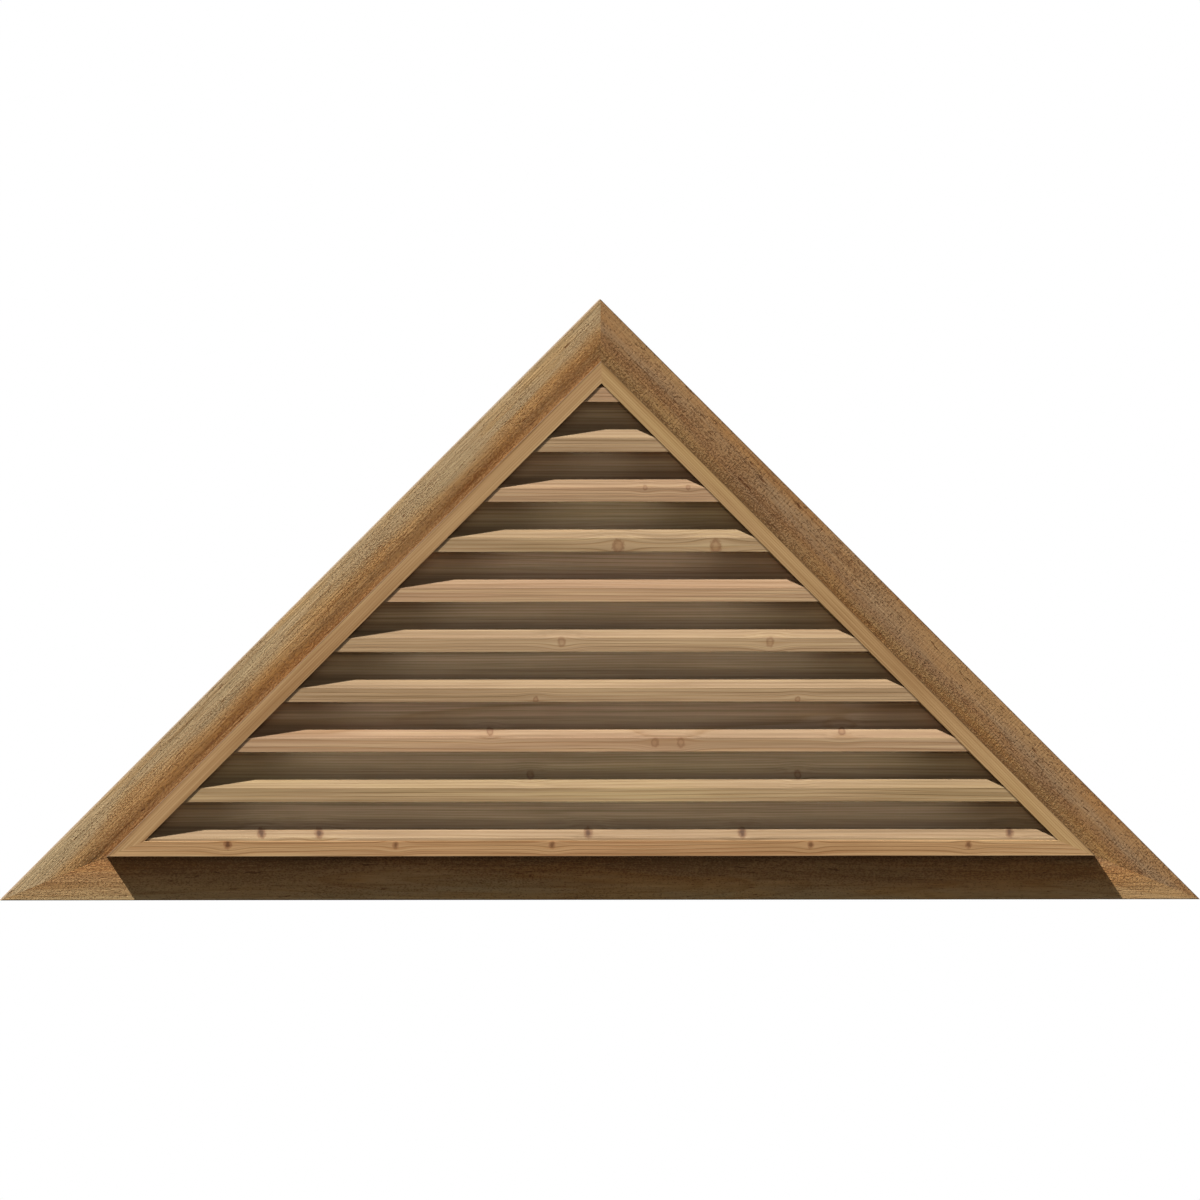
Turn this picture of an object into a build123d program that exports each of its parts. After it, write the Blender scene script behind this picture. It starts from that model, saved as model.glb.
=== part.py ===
from build123d import *
import os
from math import cos, radians, sin, tan

# A triangular wooden gable vent: a mitred box of boards on edge, a moulded trim round it that
# lies on the wall, sloping louvers between the rakes and an insect screen across the back.
# Millimetres. X runs across, -Y is the weather side and +Z is up. The wall plane is Y = 0 and
# the origin is the middle of the bottom trim's back face.

# Box
vent_width = 1219.2
roof_pitch = 45.0
board_thickness = 19.05
board_depth = 88.9
board_arris = 0.4
box_proud = 19.05

# Trim
trim_width = 54.0
trim_thickness = 31.75
trim_round = 1.0
crown_run = 20.0
cove_run = 10.0
ogee_slope = 14.0

# Louvers
louver_thickness = 12.7
louver_slope = 45.0
louver_count = 10
louver_run = 63.5
louver_set_back = 1.0
louver_arris = 0.5
sill_reveal = 3.6
peak_louver_height = 23.6

# Insect screen
screen_margin = 4.0
screen_thickness = 0.6
screen_pitch = 10.0
screen_strand = 1.5
screen_border = 3.0

# Fasteners
brad_length = 31.75
brad_wide = 1.25
brad_thin = 1.0
brad_head_wide = 2.2
brad_head_depth = 0.8
brad_cover = 4.0
brad_rear_margin = 9.5
louver_brad_height = 0.7
corner_brad_margin = 12.0
peak_brad_inset = 10.0
trim_brad_spacing = 175.0
trim_brad_end = 90.0
staple_crown = 9.5
staple_wire = 1.2
staple_leg = 8.0
staple_spacing = 105.0
staple_end = 55.0
mitre_nail_leg = 8.0
mitre_nail_gauge = 0.6
mitre_nail_depth = 10.0
mitre_nails_per_joint = 2

# Places that follow from those sizes
pitch = radians(roof_pitch)
slope = radians(louver_slope)
box_base = trim_width / 2
box_front = -(trim_thickness + box_proud)
box_rear = box_front + board_depth
louver_front = box_front + louver_set_back
louver_face = louver_thickness / cos(slope)
first_louver = box_base + board_thickness + sill_reveal - louver_face
crown_radius = crown_run / sin(radians(ogee_slope))
cove_radius = cove_run / sin(radians(ogee_slope))
ogee_rise = 1 - cos(radians(ogee_slope))
trim_edge = trim_thickness - (crown_radius + cove_radius) * ogee_rise
front_brad = -(trim_edge - brad_cover)
louver_rear_brad = louver_front + louver_run - brad_rear_margin
corner_rear_brad = box_rear - corner_brad_margin
trim_brad = -trim_edge / 2
forward = Vector(0, -1, 0)
reach = vent_width + 4 * trim_width


def triangle(offset):
    """Left, peak and right corner of the box's outline, moved outward by the offset."""
    half = vent_width / 2 + offset / tan(pitch / 2)
    base = box_base - offset
    return [(-half, base), (0, base + half * tan(pitch)), (half, base)]


def upright_prism(corners, front, rear):
    """A flat outline in the wall's plane, given its depth from front to rear."""
    outline = Plane.XZ * make_face(Polyline(*corners, close=True))
    return extrude(outline, amount=-(rear - front)).moved(Location((0, front, 0)))


def outward(side):
    """The direction away from the opening, across the left, right or bottom side."""
    if side == "bottom":
        return Vector(0, 0, -1)
    return Vector(-sin(pitch) if side == "left" else sin(pitch), 0, cos(pitch))


def side_ends(side, offset):
    """The two ends of one side of the outline, moved outward by the offset."""
    left, peak, right = [Vector(x, 0, z) for x, z in triangle(offset)]
    return {"left": (left, peak), "right": (peak, right), "bottom": (left, right)}[side]


def mitred(section, side):
    """Run a section along one side of the triangle and cut it to both mitre planes."""
    across = outward(side)
    start, end = side_ends(side, 0)
    middle = (start + end) * 0.5
    station = Plane(origin=middle, x_dir=across, z_dir=across.cross(forward))
    length = extrude(station * section, amount=reach, both=True)
    wide = trim_width * 2
    first, last = side_ends(side, wide)
    inner = box_base + vent_width / 2 * tan(pitch / 2)
    wedge = [(0, inner), (first.X, first.Z), (last.X, last.Z)]
    return length & upright_prism(wedge, box_front - board_depth, box_rear + board_depth)


def board_section():
    """A board on edge, with its two front corners eased."""
    middle = -(box_front + box_rear) / 2
    section = Pos(-board_thickness / 2, middle) * Rectangle(board_thickness, board_depth)
    return fillet(section.vertices().sort_by(Axis.Y)[-2:], board_arris)


def trim_section():
    """Flat outer band with a rounded corner, then an ogee that falls towards the box."""
    crown_end = trim_thickness - crown_radius * ogee_rise
    falling = (-cos(radians(ogee_slope)), -sin(radians(ogee_slope)))
    start = (crown_run + cove_run, trim_thickness)
    turn = (cove_run, crown_end)
    crown = TangentArc(start, turn, tangent=(-1, 0))
    cove = TangentArc(turn, (0, trim_edge), tangent=falling)
    back = Polyline((0, trim_edge), (0, 0), (trim_width, 0), (trim_width, trim_thickness), start)
    section = make_face([crown, cove, back])
    corner = section.vertices().sort_by_distance((trim_width, trim_thickness))[0]
    return fillet(corner, trim_round)


def louver(height):
    """One sloping blade: plumb front, square rear edge, ends cut to the rakes."""
    run_end = louver_front + louver_run
    top_end = height + louver_face + louver_run * tan(slope)
    profile = make_face(Polyline(
        (louver_front, height),
        (louver_front, height + louver_face),
        (run_end, top_end),
        (run_end + louver_thickness * sin(slope), top_end - louver_thickness * cos(slope)),
        close=True,
    ))
    profile = fillet(profile.vertices().sort_by(Axis.X)[:2], louver_arris)
    blade = extrude(Plane.YZ * profile, amount=vent_width / 2, both=True)
    opening = upright_prism(triangle(-board_thickness), box_front, box_rear)
    return blade & opening


def louver_heights():
    """The height of each blade's lower front edge, evenly spaced from the sill to the peak."""
    last_louver = triangle(-board_thickness)[1][1] - peak_louver_height
    spacing = (last_louver - first_louver) / (louver_count - 1)
    return [first_louver + number * spacing for number in range(louver_count)]


def screen_sheet():
    """The screen cloth, a thin sheet that is open between its upright strands."""
    sheet = make_face(Polyline(*triangle(-screen_margin), close=True))
    peak, right = triangle(-board_thickness - screen_border)[1:]
    gaps = []
    for number in range(int(right[0] / screen_pitch - 0.5)):
        near = number * screen_pitch + screen_strand / 2
        far = near + screen_pitch - screen_strand
        for side in (-1, 1):
            foot = [(side * near, right[1]), (side * far, right[1])]
            head = [(side * x, peak[1] - x * tan(pitch)) for x in (far, near)]
            gaps.append(make_face(Polyline(*foot, *head, close=True)))
    cloth = extrude(Plane.XZ * (sheet - gaps), amount=-screen_thickness)
    return cloth.moved(Location((0, box_rear, 0)))


def brad(place, drive):
    """A headed wire brad with its head flush at the place, driven along the given direction."""
    shank = Pos(0, 0, -brad_length / 2) * Box(brad_wide, brad_thin, brad_length)
    head = Pos(0, 0, -brad_head_depth / 2) * Box(brad_head_wide, brad_thin, brad_head_depth)
    station = Plane(origin=place, x_dir=(0, 1, 0), z_dir=-drive)
    return station.location * (shank + head)


def rake_inner(side, depth, height):
    """A point on a rake's inner face at this depth and height."""
    half = (triangle(-board_thickness)[1][1] - height) / tan(pitch)
    return Vector(-half if side == "left" else half, depth, height)


def louver_brads(side, height):
    """Two brads through one rake into the end of the blade at this height."""
    brads = []
    for depth in (front_brad, louver_rear_brad):
        climb = (depth - louver_front) * tan(slope)
        entry = rake_inner(side, depth, height + climb + louver_brad_height * louver_face)
        place = entry + outward(side) * board_thickness
        brads.append(brad(place, -outward(side)))
    return brads


def corner_brads():
    """Three brads across each mitre of the box."""
    inset = 2 * board_thickness
    peak = triangle(0)[1][1]
    brads = []
    for depth in (front_brad, (front_brad + corner_rear_brad) / 2, corner_rear_brad):
        for x in (inset - vent_width / 2, vent_width / 2 - inset):
            brads.append(brad(Vector(x, depth, box_base), Vector(0, 0, 1)))
        across = peak_brad_inset * cos(pitch)
        down = peak_brad_inset * sin(pitch)
        brads.append(brad(Vector(across, depth, peak - down), -outward("right")))
    return brads


def rake_trim_brads(side, heights):
    """Brads from inside a rake into the edge of its trim, in every second gap."""
    climb = (trim_brad - louver_front) * tan(slope) + louver_face
    gap = heights[1] - heights[0] - louver_face
    places = [rake_inner(side, trim_brad, height + climb + gap / 2) for height in heights[:-2:2]]
    return [brad(place, outward(side)) for place in places]


def base_trim_brads():
    """Brads from inside the bottom board into the edge of the bottom trim."""
    half = vent_width / 2 - trim_brad_end
    count = round(2 * half / trim_brad_spacing)
    brads = []
    for number in range(count + 1):
        x = 2 * half * number / count - half
        brads.append(brad(Vector(x, trim_brad, box_base + board_thickness), outward("bottom")))
    return brads


def screen_staples(side):
    """Staples along the middle of one board's rear edge, their crowns on the screen."""
    crown_back = screen_thickness + staple_wire
    depth = crown_back + staple_leg
    crown = Pos(0, 0, crown_back - staple_wire / 2) * Box(staple_crown, staple_wire, staple_wire)
    leg = Pos(0, 0, crown_back - depth / 2) * Box(staple_wire, staple_wire, depth)
    spread = (staple_crown - staple_wire) / 2
    staple = crown + Pos(-spread, 0, 0) * leg + Pos(spread, 0, 0) * leg
    start, end = side_ends(side, -board_thickness / 2)
    along = (end - start).normalized()
    length = (end - start).length - 2 * staple_end
    count = round(length / staple_spacing)
    staples = []
    for number in range(count + 1):
        place = start + along * (staple_end + length * number / count)
        station = Plane(origin=(place.X, box_rear, place.Z), x_dir=along, z_dir=-forward)
        staples.append(station.location * staple)
    return staples


def mitre_nails():
    """V nails across the trim's mitres, driven flush into its back."""
    leg = Pos(mitre_nail_leg / 2, 0) * Rectangle(mitre_nail_leg, mitre_nail_gauge)
    outline = Rot(0, 0, roof_pitch) * leg + Rot(0, 0, -roof_pitch) * leg
    nail = extrude(outline, amount=mitre_nail_depth)
    nails = []
    for inner, outer in zip(triangle(0), triangle(trim_width)):
        start = Vector(inner[0], 0, inner[1])
        seam = Vector(outer[0], 0, outer[1]) - start
        for number in range(1, mitre_nails_per_joint + 1):
            place = start + seam * (number / (mitre_nails_per_joint + 1))
            station = Plane(origin=place, x_dir=-seam.normalized(), z_dir=forward)
            nails.append(station.location * nail)
    return nails


def write(name, shape):
    export_step(shape, f"parts/{name}.step")


def write_group(name, solids):
    write(name, Compound([piece.solid() for piece in solids]))


def write_wood(name, wood, fasteners):
    write(name, (wood - fasteners).solid())


os.makedirs("parts", exist_ok=True)

heights = louver_heights()
rakes = ("left", "right")
node_names = {"left": "left_rake", "right": "right_rake", "bottom": "bottom"}
blade_brads = {side: [louver_brads(side, height) for height in heights[:-1]] for side in rakes}
side_brads = {side: sum(blade_brads[side], []) for side in rakes}
box_brads = corner_brads()
edge_brads = {side: rake_trim_brads(side, heights) for side in rakes}
edge_brads["bottom"] = base_trim_brads()
staples = {side: screen_staples(side) for side in node_names}
nails = mitre_nails()

for side, name in node_names.items():
    in_board = side_brads.get(side, []) + box_brads + edge_brads[side] + staples[side]
    write_wood(f"frame_{name}", mitred(board_section(), side), in_board)
    write_wood(f"trim_{name}", mitred(trim_section(), side), edge_brads[side] + nails)

for number, height in enumerate(heights):
    name = f"louver_{number + 1:02d}"
    if number < len(heights) - 1:
        write_wood(name, louver(height), blade_brads["left"][number] + blade_brads["right"][number])
    else:
        write(name, louver(height).solid())

write_wood("insect_screen", screen_sheet(), sum(staples.values(), []))
write_group("screen_staples", sum(staples.values(), []))
write_group("louver_brads_left", side_brads["left"])
write_group("louver_brads_right", side_brads["right"])
write_group("corner_brads", box_brads)
write_group("trim_brads", sum(edge_brads.values(), []))
write_group("trim_mitre_nails", nails)
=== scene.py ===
import math
import random

import bmesh
import bpy
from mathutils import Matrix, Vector


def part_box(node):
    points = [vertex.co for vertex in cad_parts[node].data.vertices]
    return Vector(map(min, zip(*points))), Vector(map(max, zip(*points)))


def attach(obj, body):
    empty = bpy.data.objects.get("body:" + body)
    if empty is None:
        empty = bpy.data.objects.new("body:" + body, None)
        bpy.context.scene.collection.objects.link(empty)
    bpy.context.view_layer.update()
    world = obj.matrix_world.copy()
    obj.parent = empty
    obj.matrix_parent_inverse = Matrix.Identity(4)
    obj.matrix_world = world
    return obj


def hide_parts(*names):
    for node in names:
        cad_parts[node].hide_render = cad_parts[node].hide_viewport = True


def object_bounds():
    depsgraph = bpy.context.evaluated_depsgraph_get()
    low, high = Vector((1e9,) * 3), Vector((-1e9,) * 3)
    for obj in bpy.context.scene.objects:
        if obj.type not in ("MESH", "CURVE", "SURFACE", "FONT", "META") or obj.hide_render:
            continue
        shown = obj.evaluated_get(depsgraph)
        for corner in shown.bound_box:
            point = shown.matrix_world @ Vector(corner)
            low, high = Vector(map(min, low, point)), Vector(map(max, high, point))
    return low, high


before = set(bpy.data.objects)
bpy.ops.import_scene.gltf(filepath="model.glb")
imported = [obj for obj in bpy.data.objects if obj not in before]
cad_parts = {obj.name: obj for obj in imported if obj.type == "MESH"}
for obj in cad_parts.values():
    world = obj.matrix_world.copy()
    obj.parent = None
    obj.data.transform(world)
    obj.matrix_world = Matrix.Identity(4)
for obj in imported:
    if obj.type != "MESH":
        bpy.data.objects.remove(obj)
cad_box = [list(corner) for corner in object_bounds()]

# A triangular cedar gable vent, in metres: X across the vent, Y into the wall, Z up.
# Its own sizes are read from the frame.
box_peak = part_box("frame_left_rake")[1].z
base_low, base_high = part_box("frame_bottom")
trim_low, trim_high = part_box("trim_bottom")
screen_low, screen_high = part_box("insect_screen")
louver_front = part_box("louver_05")[0].y
opening_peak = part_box("louver_10")[1].z
box_base = base_low.z
trim_width = box_base - trim_low.z
rake_angle = math.atan2(box_peak - box_base, base_high.x)
louver_run = 0.0635

# Each side of the triangle: the turn about Y that brings its length to X and its outer face up,
# and the height of the box's outer face once turned
rake_face = box_peak * math.cos(rake_angle)
sides = {
    "left_rake": (rake_angle, rake_face),
    "right_rake": (-rake_angle, rake_face),
    "bottom": (math.pi, -box_base),
}
louvers = sorted(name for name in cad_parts
                 if name.startswith("louver_0") or name == "louver_10")


# Small helpers for node trees

def feed(tree, socket, source):
    """Link a socket, or set its value."""
    if isinstance(source, bpy.types.NodeSocket):
        tree.links.new(source, socket)
    else:
        socket.default_value = source


def make(tree, kind, inputs=None, **settings):
    node = tree.nodes.new(kind)
    for key, setting in settings.items():
        setattr(node, key, setting)
    for key, source in (inputs or {}).items():
        feed(tree, node.inputs[key], source)
    return node


def maths(tree, operation, *operands):
    node = tree.nodes.new("ShaderNodeMath")
    node.operation = operation
    for socket, source in zip(node.inputs, operands):
        feed(tree, socket, source)
    return node.outputs[0]


def scaled(tree, source, factor):
    return maths(tree, "MULTIPLY", source, factor)


def scaled_plus(tree, source, factor, added):
    return maths(tree, "MULTIPLY_ADD", source, factor, added)


def squared(tree, source):
    return maths(tree, "POWER", source, 2.0)


def smooth(tree, source, low, high):
    """0 at low, 1 at high and a smooth change between, where low may be the larger value."""
    node = make(tree, "ShaderNodeMapRange", {0: source, 1: low, 2: high},
                interpolation_type="SMOOTHSTEP", clamp=True)
    return node.outputs[0]


def mix(tree, factor, first, second, blend="MIX"):
    node = make(tree, "ShaderNodeMix", {0: factor, 6: first, 7: second},
                data_type="RGBA", blend_type=blend)
    return node.outputs[2]


def tinted(tree, colour, amount, tone):
    """The colour multiplied by a tone, to the given amount."""
    return mix(tree, amount, colour, mix(tree, 1.0, colour, tone, blend="MULTIPLY"))


def marked(tree, colour, readings, marks):
    """The colour with each mark's tone laid over it, and where each mark lies, by name."""
    places = {}
    for name, (reading, low, high, strength, tone) in marks.items():
        places[name] = smooth(tree, readings[reading], low, high)
        colour = tinted(tree, colour, scaled(tree, places[name], strength), tone)
    return colour, places


def summed(tree, readings, weights):
    """The sum of readings, each times its weight."""
    total = 0.0
    for name, weight in weights.items():
        total = scaled_plus(tree, readings[name], weight, total)
    return total


def ramp(tree, factor, stops):
    node = tree.nodes.new("ShaderNodeValToRGB")
    elements = node.color_ramp.elements
    while len(elements) < len(stops):
        elements.new(0.5)
    for element, (place, colour) in zip(elements, stops):
        element.position = place
        element.color = colour
    feed(tree, node.inputs[0], factor)
    return node.outputs[0]


def stretched_noise(tree, vector, scale, detail=2.0, roughness=0.5):
    """Noise with its own scale, per metre, along the piece, through it and across it."""
    mapped = make(tree, "ShaderNodeMapping", {"Vector": vector, "Scale": scale})
    noise = make(tree, "ShaderNodeTexNoise",
                 {"Vector": mapped.outputs[0], "Scale": 1.0, "Detail": detail,
                  "Roughness": roughness})
    return noise.outputs["Fac"]


def noise_set(tree, vector, table):
    return {name: stretched_noise(tree, vector, *entry) for name, entry in table.items()}


def linear(red, green, blue):
    """A colour given in the usual 0 to 255 steps, as linear light."""
    parts = []
    for step in (red, green, blue):
        level = step / 255
        parts.append(level / 12.92 if level <= 0.04045 else ((level + 0.055) / 1.055) ** 2.4)
    return (*parts, 1.0)


def grey(level):
    return (level, level, level, 1)


def object_place(tree):
    return tree.nodes.new("ShaderNodeTexCoord").outputs["Object"]


def new_material(name):
    material = bpy.data.materials.new(name)
    material.use_nodes = True
    material.node_tree.nodes.clear()
    return material, material.node_tree


def close_material(tree, inputs, height, bump_depth):
    bump = make(tree, "ShaderNodeBump",
                {"Height": height, "Distance": bump_depth, "Strength": 1.0})
    shader = make(tree, "ShaderNodeBsdfPrincipled", {**inputs, "Normal": bump.outputs[0]})
    output = tree.nodes.new("ShaderNodeOutputMaterial")
    tree.links.new(shader.outputs[0], output.inputs[0])


# Cedar

# Noise of each wood as (scale along, through and across the piece, detail, roughness)
planed_noise = {
    "fibre": ((9.0, 950.0, 950.0), 3.0, 0.6),
    "streak": ((2.6, 170.0, 170.0), 3.0, 0.6),
    "blotch": ((3.0, 22.0, 22.0), 2.0),
}
sawn_noise = {
    "streak": ((7.0, 240.0, 240.0), 4.0, 0.65),
    "fibre": ((45.0, 800.0, 800.0), 3.0, 0.65),
    "pores": ((330.0, 620.0, 620.0), 2.0, 0.6),
    "checks": ((42.0, 260.0, 260.0), 2.0, 0.6),
    "crowd": ((7.0, 45.0, 45.0), 2.0),
    "blotch": ((5.5, 48.0, 48.0), 3.0),
    "wave": ((3.2, 20.0, 20.0), 2.0),
    "saw": ((520.0, 60.0, 40.0), 1.0),
}

# Where a piece is cut from the log: how far its grain may be shifted along and across, and
# where its pith lies behind it and beside it
grain_seed = 7
start_along = 9.0
start_across = 0.4
planed_pith = ((0.05, 0.12), (0.02, 0.07))
sawn_pith = ((0.05, 0.08), (-0.04, 0.04))

# Growth rings of each kind of piece: spacing, how far they wander, strength and late-wood tone
ring_habits = {
    "frame": (0.0027, 0.030, 0.85, (0.72, 0.63, 0.50, 1)),
    "louver": (0.0042, 0.030, 0.85, (0.80, 0.72, 0.60, 1)),
    "trim": (0.0034, 0.050, 0.70, (0.76, 0.67, 0.54, 1)),
}
ring_noise = {"drift": ((1.1, 7.0, 7.0), 1.5), "ripple": ((5.0, 60.0, 60.0), 1.0)}
ring_ripple = 0.0022
# How dark one ring is, from its early wood at 0 to its late wood near 1
ring_profile = ((0.0, 0.25), (0.12, 0.0), (0.68, 0.28), (0.93, 1.0), (1.0, 0.25))

# Planed wood's dark, middle and pale tones, and where they stand on the streaks
planed_tones = {
    "frame": (linear(152, 115, 74), linear(174, 138, 95), linear(187, 154, 109)),
    "louver": (linear(148, 121, 88), linear(169, 140, 106), linear(185, 158, 120)),
}
planed_stops = (0.32, 0.50, 0.70)
# Sawn wood's tones from the box outward, where they stand, and how much their borders wave
sawn_tones = {
    "trim_left_rake": (linear(196, 150, 94), linear(183, 143, 93),
                       linear(171, 144, 106), linear(177, 151, 113)),
    "trim_right_rake": (linear(165, 129, 82), linear(147, 113, 78),
                        linear(150, 120, 87), linear(158, 120, 78)),
    "trim_bottom": (linear(151, 114, 72), linear(156, 118, 75),
                    linear(164, 126, 81), linear(169, 138, 95)),
}
sawn_stops = (0.10, 0.40, 0.58, 0.92)
sawn_wave = 0.9

# The hue of each planed board, laid on by a least share, and by a gain more in its blotches.
# Every board is also a little darker or lighter, between the two levels.
rosy_hue = (1.03, 0.955, 0.955, 1)
tan_hue = (1.0, 0.99, 0.97, 1)
olive_hue = (0.99, 1.01, 0.92, 1)
board_hues = {
    "frame_left_rake": tan_hue, "frame_right_rake": olive_hue, "frame_bottom": rosy_hue,
    "louver_01": tan_hue, "louver_02": olive_hue, "louver_03": rosy_hue, "louver_04": tan_hue,
    "louver_05": tan_hue, "louver_06": rosy_hue, "louver_07": olive_hue, "louver_08": rosy_hue,
    "louver_09": tan_hue, "louver_10": rosy_hue,
}
hue_blotches = (0.38, 0.64)
hue_gain = 0.8
hue_least = 0.4
board_levels = (0.97, 1.03)

# Marks in the wood, as (reading, where the mark sets in, where it is full, strength, tone that
# multiplies the colour). Pores lie in crowds, more of them towards the box. A share is 0 at the
# box and 1 at the trim's outer edge.
# Painted shade for the box's outer side faces and the trim's outer edge
painted_edge_shade = (0.26, 0.25, 0.25, 1)
planed_marks = {"fibre": ("fibre", 0.48, 0.72, 1.0, (0.82, 0.78, 0.72, 1))}
sawn_marks = {
    "orange": ("blotch", 0.47, 0.63, 0.85, (1.03, 0.93, 0.76, 1)),
    "olive": ("blotch", 0.48, 0.32, 0.60, (0.97, 1.02, 1.04, 1)),
    "dark_streak": ("streak", 0.52, 0.72, 1.0, (0.74, 0.66, 0.56, 1)),
    "pale_streak": ("streak", 0.46, 0.28, 1.0, (1.18, 1.20, 1.20, 1)),
    "fibre": ("fibre", 0.50, 0.70, 0.80, (0.76, 0.70, 0.62, 1)),
    "pore": ("pore_level", 0.615, 0.715, 0.75, (0.56, 0.46, 0.36, 1)),
    "check": ("checks", 0.67, 0.73, 1.0, (0.48, 0.37, 0.27, 1)),
    # Painted shade darkens the trim next to the box.
    "painted_corner_shade": ("share", 0.2, 0.0, 1.0, (0.70, 0.67, 0.66, 1)),
    # Painted shade along the trim's outer edge
    "edge": ("share", 0.975, 0.995, 1.0, painted_edge_shade),
}
pore_weights = {"pores": 1.0, "crowd": 0.35, "zone": -0.15}
# The box's outer side face is darkened with painted shade from this far under it
box_side_shade_reach = (-0.0009, -0.0003)

# Relief as weights of what is read, its depth, and roughness as (gain on the fibre, least)
planed_relief = {"fibre": 0.5, "rings": -0.35}
planed_relief_depth = 0.00025
planed_roughness = (0.2, 0.55)
sawn_relief = {"fibre": 0.5, "streak": 0.8, "saw": 0.35, "hollow": -0.7}
sawn_relief_depth = 0.0007
sawn_roughness = (0.15, 0.7)
wood_gloss = {"IOR": 1.45, "Specular IOR Level": 0.25}

# Knots as (X, height, radius, depth of colour)
knots = {
    "louver_08": [(0.054, 0.481, 0.0028, 0.8), (0.107, 0.481, 0.0028, 0.8)],
    "louver_07": [(0.021, 0.409, 0.0072, 1.0), (0.141, 0.409, 0.0072, 1.0)],
    "louver_05": [(-0.049, 0.291, 0.0050, 0.8), (0.208, 0.291, 0.0050, 0.8)],
    "louver_04": [(-0.081, 0.220, 0.0034, 0.9), (0.242, 0.220, 0.0034, 0.9)],
    "louver_03": [(-0.137, 0.181, 0.0044, 1.0), (0.297, 0.181, 0.0044, 1.0),
                  (0.066, 0.167, 0.0048, 0.7), (0.098, 0.167, 0.0048, 0.7)],
    "louver_02": [(-0.087, 0.127, 0.0046, 0.9), (0.243, 0.127, 0.0046, 0.9)],
    "louver_01": [(-0.419, 0.056, 0.0056, 1.0), (-0.348, 0.056, 0.0056, 1.0),
                  (-0.016, 0.056, 0.0056, 1.0), (0.174, 0.056, 0.0056, 1.0),
                  (0.504, 0.056, 0.0050, 1.0)],
    "frame_bottom": [(-0.461, 0.042, 0.0050, 1.0), (-0.254, 0.041, 0.0040, 0.8),
                     (-0.061, 0.041, 0.0040, 0.8), (0.258, 0.041, 0.0040, 0.8),
                     (0.453, 0.041, 0.0040, 0.8)],
}
knot_rim = (0.64, 0.52, 0.46, 1)
knot_hearts = {"pale": (1.30, 1.42, 1.50, 1), "dark": (0.45, 0.38, 0.32, 1)}
# How far the grain gives way along and across, in knot radii, and how strongly
knot_reach_along = 4.5
knot_reach_across = 2.4
knot_push = -0.8
knot_flatness = 0.8
knot_noise = (260.0, 1.0, 260.0)
knot_raggedness = 0.9
# Where a knot and its heart fade out and are full, in radii from the middle
knot_body = (1.3, 0.7)
knot_heart = (0.8, 0.25)

# On a louver's sloping top, in shares of its run: where the painted shade on its lit front fades
# out and is full, and where the painted light on its shaded rear sets in and is full
painted_front_shade = (0.30, 0.10)
painted_rear_light = (0.20, 0.55)
front_shade_tone = (0.55, 0.55, 0.55, 1)
rear_light_tone = (1.98, 2.18, 2.30, 1)
painted_light_noise = (6.0, 60.0, 60.0)
painted_light_wander = 0.008
upward_facing = (0.3, 0.6)
# Painted shade in the joint between louver and rake
joint_shade_tone = linear(66, 46, 28)
joint_shade_reach = (0.0026, 0.0010)
joint_shade_strength = 0.50


def board_vector(tree, turn):
    """Object coordinates turned so that X runs along the piece and Z points outward."""
    turned = make(tree, "ShaderNodeMapping",
                  {"Vector": object_place(tree), "Rotation": (0, turn, 0)})
    return turned.outputs[0]


def kind_of_knot(name):
    """Knots near the sill are dark and dead, those higher up pale and sound."""
    return "dark" if name in ("louver_01", "frame_bottom") else "pale"


def bend_round_knots(tree, along, across, turn, listed):
    """The grain pushed aside round each knot, and how deep a point is in a knot and a heart."""
    inside = 0.0
    hearts = 0.0
    place = make(tree, "ShaderNodeCombineXYZ", {0: along, 2: across}).outputs[0]
    uneven = stretched_noise(tree, place, knot_noise)
    for x, height, radius, strength in listed:
        knot_along = x * math.cos(turn) + height * math.sin(turn)
        knot_across = height * math.cos(turn) - x * math.sin(turn)
        off_along = maths(tree, "SUBTRACT", along, knot_along)
        off_across = maths(tree, "SUBTRACT", across, knot_across)
        long_part = squared(tree, maths(tree, "DIVIDE", off_along, knot_reach_along * radius))
        wide_part = squared(tree, maths(tree, "DIVIDE", off_across, knot_reach_across * radius))
        away = scaled(tree, maths(tree, "ADD", long_part, wide_part), -1.0)
        near = maths(tree, "EXPONENT", away)
        push = scaled(tree, scaled(tree, off_across, near), knot_push)
        across = maths(tree, "ADD", across, push)
        round_part = maths(tree, "ADD", squared(tree, off_along),
                           squared(tree, scaled(tree, off_across, knot_flatness)))
        ragged = scaled_plus(tree, uneven, knot_raggedness, -knot_raggedness / 2)
        radii = maths(tree, "DIVIDE", maths(tree, "SQRT", round_part), radius)
        distance = maths(tree, "ADD", radii, ragged)
        body = smooth(tree, distance, *knot_body)
        heart = smooth(tree, distance, *knot_heart)
        inside = maths(tree, "MAXIMUM", inside, scaled(tree, body, strength))
        hearts = maths(tree, "MAXIMUM", hearts, heart)
    return across, inside, hearts


def ringed(tree, colour, grain, pith, kind):
    """Dark late-wood lines of rings round a pith that lies beside the board."""
    spacing, wander, strength, late_wood = ring_habits[kind]
    noise = noise_set(tree, grain, ring_noise)
    parts = make(tree, "ShaderNodeSeparateXYZ", {0: grain})
    deep = maths(tree, "ADD", parts.outputs[1], pith[0])
    wide = maths(tree, "ADD", parts.outputs[2], pith[1])
    radius = maths(tree, "SQRT", maths(tree, "ADD", squared(tree, deep), squared(tree, wide)))
    radius = scaled_plus(tree, noise["drift"], wander, radius)
    radius = scaled_plus(tree, noise["ripple"], ring_ripple, radius)
    phase = maths(tree, "FRACT", maths(tree, "DIVIDE", radius, spacing))
    rings = ramp(tree, phase, [(place, grey(level)) for place, level in ring_profile])
    return tinted(tree, colour, scaled(tree, rings, strength), late_wood), rings


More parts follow.
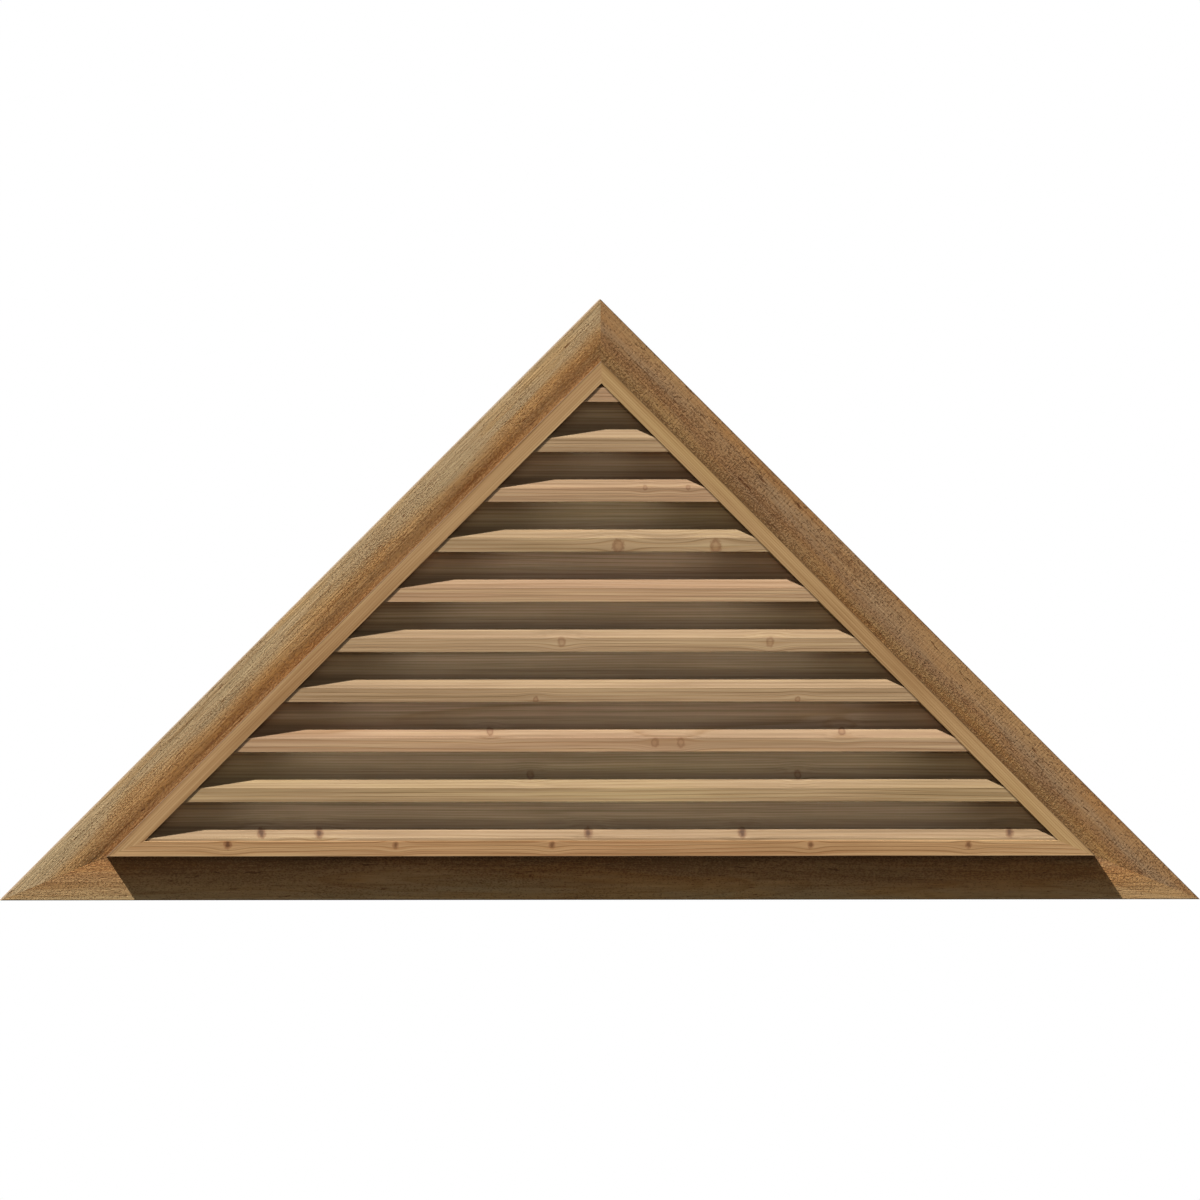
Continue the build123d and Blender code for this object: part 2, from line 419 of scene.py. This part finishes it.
def louver_painted_light_and_shade(tree, colour, grain, along, depth, height):
    """Painted shade on the lit front of a sloping top, painted light on its shaded rear, and
    painted shade at its ends.
    """
    face = tree.nodes.new("ShaderNodeNewGeometry").outputs["True Normal"]
    facing = make(tree, "ShaderNodeSeparateXYZ", {0: face}).outputs[2]
    uneven = scaled_plus(tree, stretched_noise(tree, grain, painted_light_noise),
                         painted_light_wander, -painted_light_wander / 2)
    inward = maths(tree, "ADD", maths(tree, "SUBTRACT", depth, louver_front), uneven)
    # Painted shade darkens the lit front of each louver top, and painted light brightens its
    # shaded rear.
    front_shade = smooth(tree, inward, *(share * louver_run for share in painted_front_shade))
    rear_light = smooth(tree, inward, *(share * louver_run for share in painted_rear_light))
    top = tinted(tree, tinted(tree, colour, front_shade, front_shade_tone), rear_light, rear_light_tone)
    colour = mix(tree, smooth(tree, facing, *upward_facing), colour, top)
    # Painted shade darkens the louver's ends next to the rakes.
    reach = maths(tree, "ADD", height, maths(tree, "ABSOLUTE", along))
    to_rake = scaled(tree, maths(tree, "SUBTRACT", opening_peak, reach), math.sqrt(0.5))
    joint_shade = smooth(tree, to_rake, *joint_shade_reach)
    return mix(tree, scaled(tree, joint_shade, joint_shade_strength), colour, joint_shade_tone)


def random_start(chance):
    return (chance.uniform(-start_along, start_along),
            chance.uniform(-start_across, start_across),
            chance.uniform(-start_across, start_across))


def planed_cedar(name, kind, turn, outer_face, chance):
    """Smooth cedar of the box and the louvers, each piece with its own cut of the grain."""
    material, tree = new_material(f"cedar_{name}")
    along, depth, outward = make(tree, "ShaderNodeSeparateXYZ",
                                 {0: board_vector(tree, turn)}).outputs
    across, inside, hearts = bend_round_knots(tree, along, outward, turn, knots.get(name, []))
    bent = make(tree, "ShaderNodeCombineXYZ", {0: along, 1: depth, 2: across}).outputs[0]
    start = random_start(chance)
    grain = make(tree, "ShaderNodeMapping", {"Vector": bent, "Location": start}).outputs[0]
    pith = [chance.choice((-1, 1)) * chance.uniform(*reach) - shift
            for reach, shift in zip(planed_pith, start[1:])]
    noise = noise_set(tree, grain, planed_noise)
    colour = ramp(tree, noise["streak"], list(zip(planed_stops, planed_tones[kind])))
    blotches = smooth(tree, noise["blotch"], *hue_blotches)
    hue_share = scaled_plus(tree, blotches, hue_gain, hue_least)
    colour = tinted(tree, colour, hue_share, board_hues[name])
    colour, rings = ringed(tree, colour, grain, pith, kind)
    colour, _ = marked(tree, colour, noise, planed_marks)
    colour = tinted(tree, colour, inside, knot_rim)
    heart_tone = knot_hearts[kind_of_knot(name)]
    colour = tinted(tree, colour, scaled(tree, inside, hearts), heart_tone)
    if kind == "louver":
        colour = louver_painted_light_and_shade(tree, colour, grain, along, depth, outward)
    else:
        # Painted shade darkens the box's outer side face.
        edge = smooth(tree, outward, *(outer_face + offset for offset in box_side_shade_reach))
        colour = tinted(tree, colour, edge, painted_edge_shade)
    colour = tinted(tree, colour, 1.0, grey(chance.uniform(*board_levels)))
    roughness = scaled_plus(tree, noise["fibre"], *planed_roughness)
    height = summed(tree, {**noise, "rings": rings}, planed_relief)
    close_material(tree, {"Base Color": colour, "Roughness": roughness, **wood_gloss},
                   height, planed_relief_depth)
    return material


def sawn_cedar(name, turn, outer_face, chance):
    """Rough-sawn cedar of the trim: paler outside, browner towards the box, with dark pores, and
    painted shade next to the box and along its outer edge.
    """
    material, tree = new_material(f"cedar_{name}")
    board = board_vector(tree, turn)
    outward = make(tree, "ShaderNodeSeparateXYZ", {0: board}).outputs[2]
    start = random_start(chance)
    grain = make(tree, "ShaderNodeMapping", {"Vector": board, "Location": start}).outputs[0]
    pith = [chance.uniform(*reach) - shift for reach, shift in zip(sawn_pith, start[1:])]
    readings = noise_set(tree, grain, sawn_noise)
    share = maths(tree, "DIVIDE", maths(tree, "SUBTRACT", outward, outer_face), trim_width)
    centred = maths(tree, "SUBTRACT", share, sawn_wave / 2)
    readings["share"] = share
    readings["zone"] = scaled_plus(tree, readings["wave"], sawn_wave, centred)
    readings["pore_level"] = summed(tree, readings, pore_weights)
    colour = ramp(tree, readings["zone"], list(zip(sawn_stops, sawn_tones[name])))
    colour, _ = ringed(tree, colour, grain, pith, "trim")
    colour, places = marked(tree, colour, readings, sawn_marks)
    readings["hollow"] = maths(tree, "MAXIMUM", places["pore"], places["check"])
    roughness = scaled_plus(tree, readings["fibre"], *sawn_roughness)
    height = summed(tree, readings, sawn_relief)
    close_material(tree, {"Base Color": colour, "Roughness": roughness, **wood_gloss},
                   height, sawn_relief_depth)
    return material


# Metal

# Wires as (colour, metallic, least roughness)
galvanised = (linear(176, 178, 180), 1.0, 0.35)
charcoal = (linear(62, 62, 62), 0.2, 0.5)
wire_noise = {"draw_marks": ((900.0, 900.0, 900.0), 3.0), "dullness": ((60.0, 60.0, 60.0), 2.0)}
dull_reach = (0.35, 0.7)
dull_tone = grey(0.72)
draw_mark_roughness = 0.25
draw_mark_depth = 0.00004


def wire_metal(name, colour, metallic, least_roughness):
    """Drawn wire with fine draw marks and a slightly uneven finish."""
    material, tree = new_material(name)
    noise = noise_set(tree, object_place(tree), wire_noise)
    darker = mix(tree, 1.0, colour, dull_tone, blend="MULTIPLY")
    shade = mix(tree, smooth(tree, noise["dullness"], *dull_reach), colour, darker)
    roughness = scaled_plus(tree, noise["draw_marks"], draw_mark_roughness, least_roughness)
    close_material(tree, {"Base Color": shade, "Metallic": metallic, "Roughness": roughness},
                   noise["draw_marks"], draw_mark_depth)
    return material


def dress(node, material):
    """Give every slot of a carried piece the same finish."""
    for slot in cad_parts[node].material_slots:
        slot.material = material


def dress_wood():
    chance = random.Random(grain_seed)
    for side, (turn, outer_face) in sides.items():
        dress(f"frame_{side}", planed_cedar(f"frame_{side}", "frame", turn, outer_face, chance))
        dress(f"trim_{side}", sawn_cedar(f"trim_{side}", turn, outer_face, chance))
    for name in louvers:
        dress(name, planed_cedar(name, "louver", 0.0, None, chance))


def dress_fasteners():
    steel = wire_metal("galvanised_wire", *galvanised)
    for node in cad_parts:
        if "brads" in node or "staples" in node or "nails" in node:
            dress(node, steel)


# Insect screen

screen_wire = 0.00028
screen_pitch = 0.00141


def add_wire(mesh, low, high):
    """A straight wire of square section, open at its hidden ends."""
    corners = [[(x, y, z) for x in (low[0], high[0])]
               for y in (low[1], high[1]) for z in (low[2], high[2])]
    if high[2] - low[2] > high[0] - low[0]:
        corners = [[(x, y, z) for z in (low[2], high[2])]
                   for y in (low[1], high[1]) for x in (low[0], high[0])]
    rows = [[mesh.verts.new(corner) for corner in row] for row in corners]
    for first, second in ((0, 1), (1, 3), (3, 2), (2, 0)):
        mesh.faces.new((rows[first][0], rows[first][1], rows[second][1], rows[second][0]))


def screen_cloth():
    """Crossing wires of the insect screen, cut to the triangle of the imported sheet."""
    mesh = bmesh.new()
    half = screen_high.x
    slope = (screen_high.z - screen_low.z) / half
    warp_front = screen_low.y
    weft_front = screen_high.y - screen_wire
    count = int(half / screen_pitch)
    for number in range(-count, count + 1):
        x = number * screen_pitch
        top = screen_high.z - slope * (abs(x) + screen_wire)
        if top > screen_low.z + screen_pitch:
            add_wire(mesh, (x - screen_wire / 2, warp_front, screen_low.z),
                     (x + screen_wire / 2, warp_front + screen_wire, top))
    rows = int((screen_high.z - screen_low.z) / screen_pitch)
    for number in range(rows):
        z = screen_low.z + number * screen_pitch
        reach = (screen_high.z - z - screen_wire) / slope
        add_wire(mesh, (-reach, weft_front, z), (reach, weft_front + screen_wire, z + screen_wire))
    bmesh.ops.recalc_face_normals(mesh, faces=mesh.faces)
    data = bpy.data.meshes.new("screen_cloth")
    mesh.to_mesh(data)
    mesh.free()
    piece = bpy.data.objects.new("screen_cloth", data)
    bpy.context.scene.collection.objects.link(piece)
    data.materials.append(wire_metal("charcoal_wire", *charcoal))
    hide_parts("insect_screen")
    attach(piece, "root")


# Stage, lights and camera

floor_drop = 0.75
floor_radius = 3.4
floor_sides = 96
floor_fade = (0.35, 0.95)
floor_seen = grey(0.40)
floor_unseen = grey(0.02)
white = grey(1)
surround_level = 0.05


def seen_directly(tree):
    """1 where the camera sees a thing itself, in a reflection or through a clear part."""
    rays = tree.nodes.new("ShaderNodeLightPath").outputs
    reflected = maths(tree, "MAXIMUM", rays["Is Camera Ray"], rays["Is Glossy Ray"])
    return maths(tree, "MAXIMUM", reflected, rays["Is Transmission Ray"])


def studio_floor():
    """A pale disc below the vent, which fades into the white background."""
    mesh = bmesh.new()
    bmesh.ops.create_circle(mesh, cap_ends=True, segments=floor_sides, radius=floor_radius)
    data = bpy.data.meshes.new("studio_floor")
    mesh.to_mesh(data)
    mesh.free()
    floor = bpy.data.objects.new("studio_floor", data)
    floor.location = (0, 0, cad_box[0][2] - floor_drop)
    bpy.context.scene.collection.objects.link(floor)
    material, tree = new_material("studio_floor")
    distance = make(tree, "ShaderNodeVectorMath", {0: object_place(tree)},
                    operation="LENGTH").outputs["Value"]
    seen = seen_directly(tree)
    fade = smooth(tree, distance, *(share * floor_radius for share in floor_fade))
    paint = make(tree, "ShaderNodeBsdfDiffuse",
                 {"Color": mix(tree, seen, floor_unseen, floor_seen)})
    glow = make(tree, "ShaderNodeEmission", {"Color": white, "Strength": 1.0})
    both = make(tree, "ShaderNodeMixShader",
                {0: scaled(tree, seen, fade), 1: paint.outputs[0], 2: glow.outputs[0]})
    output = tree.nodes.new("ShaderNodeOutputMaterial")
    tree.links.new(both.outputs[0], output.inputs[0])
    data.materials.append(material)


def studio_world():
    """Even light all round, seen as plain white."""
    world = bpy.data.worlds.new("studio")
    world.use_nodes = True
    tree = world.node_tree
    tree.nodes.clear()
    level = make(tree, "ShaderNodeMix", {0: seen_directly(tree), 2: surround_level, 3: 1.0},
                 data_type="FLOAT").outputs[0]
    light = make(tree, "ShaderNodeBackground", {"Color": white, "Strength": level})
    output = tree.nodes.new("ShaderNodeOutputWorld")
    tree.links.new(light.outputs[0], output.inputs[0])
    bpy.context.scene.world = world


# The key comes from the upper left: how far it falls for each metre inward, and how far it
# drifts to the right for each metre that it falls
key_fall = 3.4
key_drift = 0.659

# Suns as (direction of travel, level on a surface that faces the front, spread in degrees)
suns = {
    "key": (Vector((key_drift * key_fall, 1.0, -key_fall)), 0.77, 1.5),
    "low_fill": (Vector((0.05, 1.0, -0.02)), 0.075, 30.0),
    "high_fill": (Vector((0.1, 1.0, -0.364)), 0.06, 30.0),
    "back": (Vector((0.0, -1.0, -1.54)), 1.25, 40.0),
}


def lights():
    for name, (travel, front_level, spread) in suns.items():
        data = bpy.data.lights.new(name, "SUN")
        data.energy = front_level * math.pi * travel.length / abs(travel.y)
        data.angle = math.radians(spread)
        lamp = bpy.data.objects.new(name, data)
        lamp.rotation_mode = "QUATERNION"
        lamp.rotation_quaternion = travel.to_track_quat("-Z", "Y")
        bpy.context.scene.collection.objects.link(lamp)


# The picture is square, and the trim's outline takes up almost its whole width
camera_azimuth = math.radians(-3.0)
camera_elevation = math.radians(0.8)
camera_distance = 60.0
camera_reach = 100.0
sensor_width = 36.0
picture_pixels = 1200.0
outline_pixels = 1199.2
picture_middle = trim_low.z + 0.3693


def camera():
    """A long lens from slightly left and above, framed on the trim's front outline."""
    back = Vector((math.sin(camera_azimuth) * math.cos(camera_elevation),
                   -math.cos(camera_azimuth) * math.cos(camera_elevation),
                   math.sin(camera_elevation)))
    outline_width = (trim_high.x - trim_low.x) * math.cos(camera_azimuth)
    data = bpy.data.cameras.new("camera")
    data.sensor_width = sensor_width
    data.lens = sensor_width * camera_distance / (outline_width * picture_pixels / outline_pixels)
    data.clip_end = camera_reach
    view = bpy.data.objects.new("camera", data)
    view.location = Vector((0, trim_low.y / 2, picture_middle)) + back * camera_distance
    view.rotation_mode = "QUATERNION"
    view.rotation_quaternion = (-back).to_track_quat("-Z", "Y")
    bpy.context.scene.collection.objects.link(view)
    bpy.context.scene.camera = view


dress_wood()
dress_fasteners()
screen_cloth()
studio_floor()
studio_world()
lights()
camera()
bpy.context.scene.view_settings.view_transform = "Standard"
